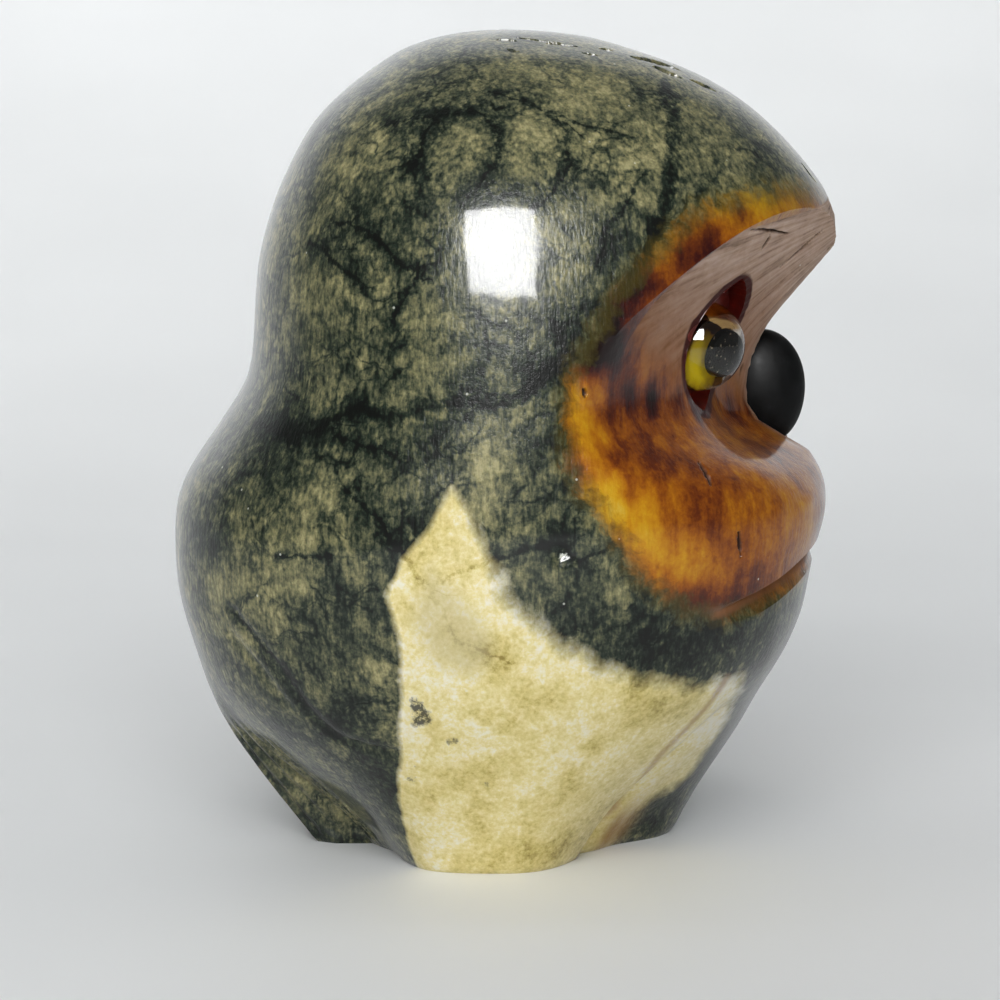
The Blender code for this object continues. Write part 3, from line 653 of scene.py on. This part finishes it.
stone_colour = add(tree, "Mix", {"Factor": full_dye, "A": stone_colour, "B": amber}, data_type="RGBA")
# painted glow: the foot is warmed towards amber where light shining through the stone is painted in
stone_colour = add(tree, "Mix", {
    "Factor": read["painted_foot_glow"], "A": stone_colour, "B": linear("#8A641C")}, data_type="RGBA")

# The flats were filed bare after dyeing, so they are pinkish, dry and streaked along the strokes
FILED_STONE = ((0.0, "#3C2E26"), (0.25, "#7C6656"), (0.5, "#A88E7C"), (0.75, "#BAA292"), (1.0, "#C8B4A6"))
filing = add(tree, "Attribute", attribute_name="filing").outputs["Vector"]
file_marks = add(tree, "TexNoise", {"Vector": filing, "Scale": 1.0, "Detail": 4.0, "Roughness": 0.62})
file_tone = add(tree, "Math", {0: file_marks, 1: 1.4, 2: -0.46}, operation="MULTIPLY_ADD")
file_tone = add(tree, "Math", {0: mottle, 1: 0.6, 2: file_tone}, operation="MULTIPLY_ADD")
filed = add(tree, "ValToRGB", {"Fac": file_tone}, stops=FILED_STONE)
left_dye = add(tree, "MapRange", {
    "Value": read["above_cheek"], "From Min": 1.0, "From Max": 15.0, "To Min": 0.85, "To Max": 0.0})
filed = add(tree, "Mix", {"Factor": left_dye, "A": filed, "B": linear("#7A481A")}, data_type="RGBA")
rim_edge = add(tree, "MapRange", {"Value": read["below_rim"], "From Min": 0.0, "From Max": 0.3})
cheek_off = add(tree, "Math", {0: streaks, 1: 9.0, 2: read["above_cheek"]}, operation="MULTIPLY_ADD")
cheek_edge = add(tree, "MapRange", {"Value": cheek_off, "From Min": 3.2, "From Max": 7.4})
bare = add(tree, "Math", {0: rim_edge, 1: cheek_edge}, operation="MULTIPLY")
band_edge = add(tree, "MapRange", {
    "Value": read["chin_band"], "From Min": -0.25, "From Max": 0.5, "To Max": 0.85})
flank_off = add(tree, "Math", {0: mottle, 1: -1.4, 2: read["flank_edge"]}, operation="MULTIPLY_ADD")
flank_bare = add(tree, "MapRange", {
    "Value": flank_off, "From Min": -0.5, "From Max": 0.4, "To Min": 0.55, "To Max": 0.0})
for edge in (band_edge, flank_bare):
    bare = add(tree, "Math", {0: bare, 1: edge}, operation="MAXIMUM")
stone_colour = add(tree, "Mix", {"Factor": bare, "A": stone_colour, "B": filed}, data_type="RGBA")

# Red dye stains the stone about each eye, and a dark red ring lies on each socket's rim
stain = add(tree, "MapRange", {
    "Value": read["from_eye"], "From Min": 6.4, "From Max": 8.6, "To Min": 0.4, "To Max": 0.0})
stone_colour = add(tree, "Mix", {
    "Factor": stain, "A": stone_colour, "B": linear("#3A1006")}, data_type="RGBA")
# painted shade: the dark red ring is partly dye and partly the shadow of the gap round the glass dome
ring_off = add(tree, "Math", {0: mottle, 1: 0.5, 2: read["from_socket"]}, operation="MULTIPLY_ADD")
ring = add(tree, "MapRange", {
    "Value": ring_off, "From Min": 1.25, "From Max": 1.50, "To Min": 0.97, "To Max": 0.0})
ring_ends = add(tree, "MapRange", {
    "Value": read["from_eye"], "From Min": 8.5, "From Max": 9.0, "To Min": 1.0, "To Max": 0.0})
ring = add(tree, "Math", {0: ring, 1: ring_ends}, operation="MULTIPLY")
stone_colour = add(tree, "Mix", {"Factor": ring, "A": stone_colour, "B": linear("#340302")}, data_type="RGBA")
stone_colour = add(tree, "Mix", {
    "Factor": read["ticked"], "A": stone_colour, "B": linear("#2A160C")}, data_type="RGBA")
# painted shade: the flaked chips are darkened nearly to black, standing in for the shadow in their hollows
stone_colour = add(tree, "Mix", {
    "Factor": read["flaked"], "A": stone_colour, "B": linear("#0C0D0B")}, data_type="RGBA")

# Painted highlights: pale specks in the colour stand in for the glints of cleaved grains, most of all in the
# dent of the flank
grains = add(tree, "TexVoronoi", {"Vector": place, "Scale": per_mm(5.0)})
painted_glint = add(tree, "MapRange", {
    "Value": grains, "From Min": 0.02, "From Max": 0.035, "To Min": 0.6, "To Max": 0.0})
painted_dent_glint = add(tree, "Math", {0: fine, 1: read["in_dent"]}, operation="MULTIPLY")
painted_dent_glint = add(tree, "MapRange", {"Value": painted_dent_glint, "From Min": 0.42, "From Max": 0.50, "To Max": 0.8})
painted_glint = add(tree, "Math", {0: painted_glint, 1: painted_dent_glint}, operation="MAXIMUM")
stone_colour = add(tree, "Mix", {
    "Factor": painted_glint, "A": stone_colour, "B": linear("#D6D8CC")}, data_type="RGBA")

# File marks stand out on the flats, and there is no wax wherever the stone is filed or flaked
polish_bump = add(tree, "Math", {0: scratch, 1: 1.1, 2: fine}, operation="MULTIPLY_ADD")
flats = add(tree, "MapRange", {"Value": read["above_cheek"], "From Min": -1.0, "From Max": 3.0})
flats = add(tree, "Math", {0: flats, 1: rim_edge}, operation="MULTIPLY")
polish_bump = add(tree, "Math", {0: flats, 1: file_marks, 2: polish_bump}, operation="MULTIPLY_ADD")
bump = add(tree, "Bump", {"Height": polish_bump, "Strength": 0.6, "Distance": 0.07 * MM})
dry = add(tree, "Math", {0: bare, 1: read["flaked"]}, operation="MAXIMUM")
dry = add(tree, "Math", {0: dry, 1: read["ticked"]}, operation="MAXIMUM")
roughness = add(tree, "MapRange", {"Value": dry, "To Min": 0.28, "To Max": 0.72})
coat = add(tree, "MapRange", {"Value": dry, "To Min": 0.65, "To Max": 0.0})
tree.links.new(stone_colour.outputs[2], shader.inputs["Base Color"])
tree.links.new(roughness.outputs[0], shader.inputs["Roughness"])
tree.links.new(coat.outputs[0], shader.inputs["Coat Weight"])
tree.links.new(bump.outputs[0], shader.inputs["Normal"])
shader.inputs["IOR"].default_value = 1.52
shader.inputs["Specular IOR Level"].default_value = 0.15
shader.inputs["Coat Roughness"].default_value = 0.08
shader.inputs["Coat IOR"].default_value = 1.4
shader.inputs["Sheen Weight"].default_value = 0.03
shader.inputs["Sheen Roughness"].default_value = 0.35
shader.inputs["Subsurface Weight"].default_value = 0.22
shader.inputs["Subsurface Radius"].default_value = (1.0, 0.65, 0.3)
shader.inputs["Subsurface Scale"].default_value = 2.2 * MM
body.data.materials.append(alabaster)

# The sockets are painted with a deep red dye that sank into the stone, darkest where it pooled
socket_dye, tree, shader = new_material("red_dyed_alabaster")
place = add(tree, "TexCoord").outputs["Object"]
pooled = add(tree, "TexNoise", {"Vector": place, "Scale": per_mm(2.5), "Detail": 4.0})
red = add(tree, "ValToRGB", {"Fac": pooled}, stops=((0.3, "#2A0403"), (0.5, "#4E0C05"), (0.75, "#7C1E0C")))
tree.links.new(red.outputs[0], shader.inputs["Base Color"])
shader.inputs["Roughness"].default_value = 0.35
shader.inputs["IOR"].default_value = 1.52
body.data.materials.append(socket_dye)
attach(body, "root")
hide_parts("carved_body")


# The eyes
# Each is a cast dome of clear glass over a yellow enamel ring fired on its flat back, with a bead of
# black glass for the pupil sealed in above the ring. It is glued into its socket.
IRIS_RADIUS, IRIS_UP, IRIS_LOWERED, IRIS_ASIDE = 3.25 * MM, 0.30 * MM, 1.3 * MM, 0.6 * MM
PUPIL_RADIUS, PUPIL_UP, PUPIL_LOWERED, PUPIL_TO_BEAK = 1.95 * MM, 1.5 * MM, 0.3 * MM, 0.7 * MM
ENAMEL_THICKNESS, BEAD_THICKNESS, BEAD_DOME = 0.08 * MM, 0.6 * MM, 0.4 * MM
TINTED_ABOVE, TINTED_FULLY = 0.5 * MM, 2.0 * MM
EYE_SHARP_FROM = math.radians(40)

# Cast glass is clear and polished, so it mirrors the lamp and bends what lies behind it. Towards the
# top of the dome the old glue shows through it as brown.
clear_glass, tree, shader = new_material("clear_cast_glass")
place = add(tree, "TexCoord").outputs["Object"]
seeds = add(tree, "TexNoise", {"Vector": place, "Scale": per_mm(1.5), "Detail": 2.0})
wave = add(tree, "Bump", {"Height": seeds, "Strength": 0.15, "Distance": 0.04 * MM})
height_up = add(tree, "SeparateXYZ", {0: place}).outputs["Z"]
eye_level = eye_backs["right"].translation.z
untinted = add(tree, "MapRange", {
    "Value": height_up, "From Min": eye_level + TINTED_ABOVE, "From Max": eye_level + TINTED_FULLY,
    "To Min": 1.0, "To Max": 0.0})
tint = add(tree, "Mix", {
    "Factor": untinted, "A": linear("#6A4216"), "B": linear("#FFFDF4")}, data_type="RGBA")
tree.links.new(tint.outputs[2], shader.inputs["Base Color"])
tree.links.new(wave.outputs[0], shader.inputs["Normal"])
shader.inputs["Roughness"].default_value = 0.03
shader.inputs["IOR"].default_value = 1.5
shader.inputs["Transmission Weight"].default_value = 1.0

# Fired enamel is opaque and satin, and it burnt to brown at the ring's outer edge
iris_enamel, tree, shader = new_material("yellow_iris_enamel")
place = add(tree, "TexCoord").outputs["Object"]
from_middle = add(tree, "Attribute", attribute_name="from_middle").outputs["Fac"]
flecks = add(tree, "TexNoise", {"Vector": place, "Scale": per_mm(0.8), "Detail": 3.0})
ring = add(tree, "Math", {0: flecks, 1: 0.35, 2: from_middle}, operation="MULTIPLY_ADD")
yellow = add(tree, "ValToRGB", {"Fac": ring}, stops=(
    (0.55, "#D2BC10"), (0.80, "#BCA20E"), (0.96, "#82680E"), (1.0, "#463008")))
tree.links.new(yellow.outputs[0], shader.inputs["Base Color"])
shader.inputs["Roughness"].default_value = 0.4
shader.inputs["Specular IOR Level"].default_value = 0.1

# Black glass that is dull where it is sealed in, with a few pale flaws
pupil_glass, tree, shader = new_material("black_pupil_glass")
place = add(tree, "TexCoord").outputs["Object"]
crazed = add(tree, "TexNoise", {"Vector": place, "Scale": per_mm(0.36), "Detail": 2.0})
black = add(tree, "ValToRGB", {"Fac": crazed}, stops=(
    (0.57, "#010101"), (0.64, "#0A0806"), (0.74, "#A89C88")))
tree.links.new(black.outputs[0], shader.inputs["Base Color"])
shader.inputs["Roughness"].default_value = 0.3
shader.inputs["Specular IOR Level"].default_value = 0.1


def small_disc(name, radius, thick, centre, back, domed, material):
    """A disc, flat or with a domed front, lying on an eye's back and facing its front."""
    bpy.ops.object.select_all(action="DESELECT")
    bpy.ops.mesh.primitive_cylinder_add(vertices=64, radius=radius, depth=thick, location=centre)
    disc = bpy.context.object
    disc.name = name
    bpy.ops.object.transform_apply(location=True, rotation=True, scale=True)
    bpy.ops.object.mode_set(mode="EDIT")
    bpy.ops.mesh.select_mode(type="FACE")
    bpy.ops.mesh.select_all(action="DESELECT")
    shape = bmesh.from_edit_mesh(disc.data)
    for face in shape.faces:
        face.select = face.normal.z > 0.9
    bmesh.update_edit_mesh(disc.data)
    for _ in range(6):
        bpy.ops.mesh.inset(thickness=radius / 8)
    bpy.ops.object.mode_set(mode="OBJECT")
    shares = np.hypot(*(read_points(disc.data) * MM - np.array(centre))[:, :2].T) / radius
    for vertex, share in zip(disc.data.vertices, shares):
        if vertex.co.z > centre[2]:
            vertex.co.z += domed * (1 - share ** 2)
    keep(disc.data, "from_middle", shares)
    disc.data.transform(back)
    work_on(disc)
    bpy.ops.object.shade_smooth_by_angle(angle=EYE_SHARP_FROM)
    disc.data.materials.append(material)
    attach(disc, "root")


for side, back in eye_backs.items():
    glass = smooth_copy(f"{side}_eye", f"{side}_eye_glass_dome")
    apply_modifier(glass, "SUBSURF", levels=2, render_levels=2)
    work_on(glass)
    bpy.ops.object.shade_smooth_by_angle(angle=EYE_SHARP_FROM)
    glass.data.materials.append(clear_glass)
    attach(glass, "root")
    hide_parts(f"{side}_eye")
    to_beak = 1 if side == "right" else -1
    iris_at = (-to_beak * IRIS_ASIDE, -IRIS_LOWERED, IRIS_UP)
    small_disc(f"{side}_eye_iris", IRIS_RADIUS, ENAMEL_THICKNESS, iris_at, back, 0.0, iris_enamel)
    pupil_at = (to_beak * PUPIL_TO_BEAK, -PUPIL_LOWERED, PUPIL_UP)
    small_disc(f"{side}_eye_pupil", PUPIL_RADIUS, BEAD_THICKNESS, pupil_at, back, BEAD_DOME, pupil_glass)


# The beak
# A pebble of black stone, ground to shape and half polished, glued into its seat on the ridge.
# The fine grained stone has a soft gloss on it, duller where the marks of the wheel were left.
BEAK_SHARP_FROM = math.radians(60)
black_stone, tree, shader = new_material("half_polished_black_stone")
place = add(tree, "TexCoord").outputs["Object"]
grain = add(tree, "TexNoise", {"Vector": place, "Scale": per_mm(1.8), "Detail": 5.0, "Roughness": 0.65})
stone_black = add(tree, "ValToRGB", {"Fac": grain}, stops=(
    (0.3, "#040505"), (0.6, "#0B0C0D"), (0.85, "#1C1D1F")))
worn = add(tree, "MapRange", {
    "Value": grain, "From Min": 0.3, "From Max": 0.7, "To Min": 0.42, "To Max": 0.60})
grind = add(tree, "TexNoise", {"Vector": place, "Scale": per_mm(0.6), "Detail": 3.0})
ground = add(tree, "Bump", {"Height": grind, "Strength": 0.35, "Distance": 0.05 * MM})
tree.links.new(stone_black.outputs[0], shader.inputs["Base Color"])
tree.links.new(worn.outputs[0], shader.inputs["Roughness"])
tree.links.new(ground.outputs[0], shader.inputs["Normal"])
shader.inputs["Specular IOR Level"].default_value = 0.12
beak = smooth_copy("beak", "black_stone_beak")
apply_modifier(beak, "SUBSURF", levels=2, render_levels=2)
work_on(beak)
bpy.ops.object.shade_smooth_by_angle(angle=BEAK_SHARP_FROM)
beak.data.materials.append(black_stone)
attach(beak, "root")
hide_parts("beak")


# The table, the light and the camera
# A sheet of matt white paper curves up behind the owl. A soft light stands at the camera's side, a
# square one above it shows only in the polish, a broad one hangs overhead and one lights the paper.
# Pale light from all round shows as a haze along the polished edges.
SWEEP_HALF, SWEEP_FLAT, SWEEP_RADIUS, SWEEP_CUTS = 2.4, 0.20, 0.85, 95
bpy.ops.object.select_all(action="DESELECT")
bpy.ops.mesh.primitive_plane_add(size=2 * SWEEP_HALF, location=(0, 0, 0))
sweep = bpy.context.object
sweep.name = "white_sweep"
bpy.ops.object.mode_set(mode="EDIT")
bpy.ops.mesh.subdivide(number_cuts=SWEEP_CUTS)
bpy.ops.object.mode_set(mode="OBJECT")
for vertex in sweep.data.vertices:
    past = max(0.0, vertex.co.x - SWEEP_FLAT)
    bend = min(past / SWEEP_RADIUS, math.pi / 2)
    if past > 0:
        vertex.co.x = SWEEP_FLAT + SWEEP_RADIUS * math.sin(bend)
    vertex.co.z = SWEEP_RADIUS * (1 - math.cos(bend)) + max(0.0, past - SWEEP_RADIUS * math.pi / 2)
work_on(sweep)
bpy.ops.object.shade_smooth()
paper, tree, shader = new_material("white_paper_sweep")
place = add(tree, "TexCoord").outputs["Object"]
fibre = add(tree, "TexNoise", {"Vector": place, "Scale": per_mm(120.0), "Detail": 2.0})
white = add(tree, "ValToRGB", {"Fac": fibre}, stops=((0.3, "#E2E4E5"), (0.7, "#E8EAEB")))
tree.links.new(white.outputs[0], shader.inputs["Base Color"])
shader.inputs["Roughness"].default_value = 0.6
shader.inputs["Specular IOR Level"].default_value = 0.2
sweep.data.materials.append(paper)

TARGET = Vector((0.0, 0.45 * MM, 40.55 * MM))


def soft_light(name, place, aim, width, tall, watts, mirrored_in_gloss, spread=math.pi):
    """A square or oblong light that either shows in the gloss or lights what is dull, never both."""
    lamp = bpy.data.lights.new(name, "AREA")
    lamp.shape = "RECTANGLE"
    lamp.size, lamp.size_y = width, tall
    lamp.energy = watts
    holder = bpy.data.objects.new(name, lamp)
    bpy.context.scene.collection.objects.link(holder)
    holder.location = place
    holder.rotation_euler = (Vector(place) - Vector(aim)).to_track_quat("Z", "Y").to_euler()
    lamp.spread = spread
    holder.visible_transmission = False
    holder.visible_glossy = mirrored_in_gloss
    holder.visible_diffuse = not mirrored_in_gloss


soft_light("side_light", (-0.62, 0.10, 0.36), TARGET, 0.50, 0.50, 4.6, False)
soft_light("square_light", (-0.62, 0.086, 0.43), TARGET, 0.34, 0.34, 14.0, True)
soft_light("broad_light", (-0.1, 0.45, 1.1), TARGET, 1.5, 1.5, 1.6, False)
soft_light("paper_light", (0.25, 0.15, 1.15), (1.2, 0.1, 0.30), 1.2, 0.5, 7.0, False, math.radians(130))
world = bpy.data.worlds.new("pale_surroundings")
world.use_nodes = True
world.node_tree.nodes["Background"].inputs["Color"].default_value = linear("#F0F2F2")
world.node_tree.nodes["Background"].inputs["Strength"].default_value = 0.18
bpy.context.scene.world = world

CAMERA_TURN, CAMERA_LIFT, CAMERA_FAR = math.radians(-95), math.radians(8), 380 * MM
SENSOR, PIXELS_PER_MM, PICTURE = 36.0, 8.35, 1000
away = Vector((
    math.sin(CAMERA_TURN) * math.cos(CAMERA_LIFT),
    -math.cos(CAMERA_TURN) * math.cos(CAMERA_LIFT),
    math.sin(CAMERA_LIFT),
))
lens = bpy.data.cameras.new("camera")
lens.sensor_width = SENSOR
lens.lens = PIXELS_PER_MM * SENSOR * CAMERA_FAR / MM / PICTURE
lens.clip_start, lens.clip_end = 0.01, 20.0
camera = bpy.data.objects.new("camera", lens)
bpy.context.scene.collection.objects.link(camera)
camera.location = TARGET + away * CAMERA_FAR
camera.rotation_euler = away.to_track_quat("Z", "Y").to_euler()
bpy.context.scene.camera = camera
bpy.context.scene.view_settings.view_transform = "Standard"
